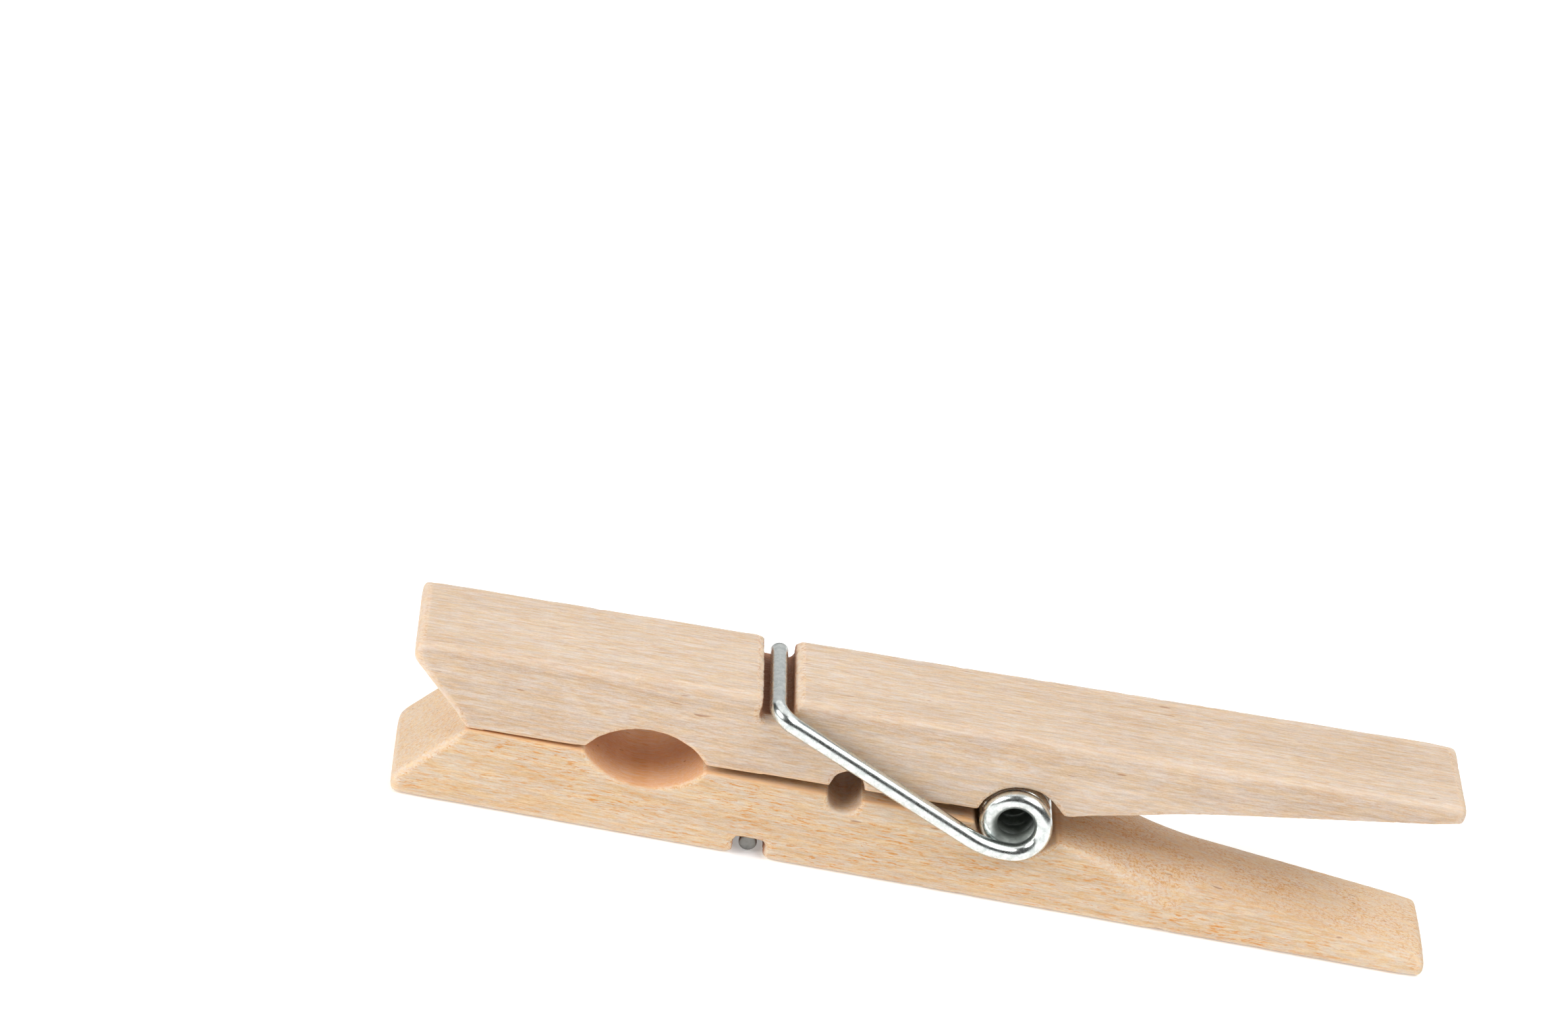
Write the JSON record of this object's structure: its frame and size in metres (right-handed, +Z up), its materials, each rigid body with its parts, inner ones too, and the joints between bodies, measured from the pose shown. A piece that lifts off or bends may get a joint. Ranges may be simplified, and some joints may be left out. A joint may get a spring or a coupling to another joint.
{
  "type": "clothespin",
  "caption": "Wooden spring clothespin: two grooved prongs pivoting on a bent-wire torsion spring, jaws with lead-in and line hole.",
  "frame": {"origin": "below the middle of the closed clothespin, on the lower prong's outer face", "axes": "+X from the jaws to the handles, +Y across the prongs, +Z up from the lower prong to the upper prong"},
  "size_m": [0.0722, 0.0122, 0.0138],
  "materials": {
    "upper_wood": "raw sanded birch, pale, matt",
    "lower_wood": "raw sanded birch, warmer, matt",
    "spring_wire": "bright galvanised"
  },
  "bodies": {
    "lower": {"lower_prong": "lower_wood", "spring_lower_arm": "spring_wire", "spring_coil": "spring_wire"},
    "upper": {"upper_prong": "upper_wood", "spring_upper_arm": "spring_wire"}
  },
  "joints": [
    {"name": "jaw_pivot", "type": "hinge", "parent": "lower", "child": "upper", "pos_m": [0.00607, 0, 0.0065], "axis": [0, 1, 0], "range_deg": [0, 19], "stiffness_Nm_per_rad": 0.18, "springref_deg": -57.3, "deforming": ["spring_coil"]}
  ]
}
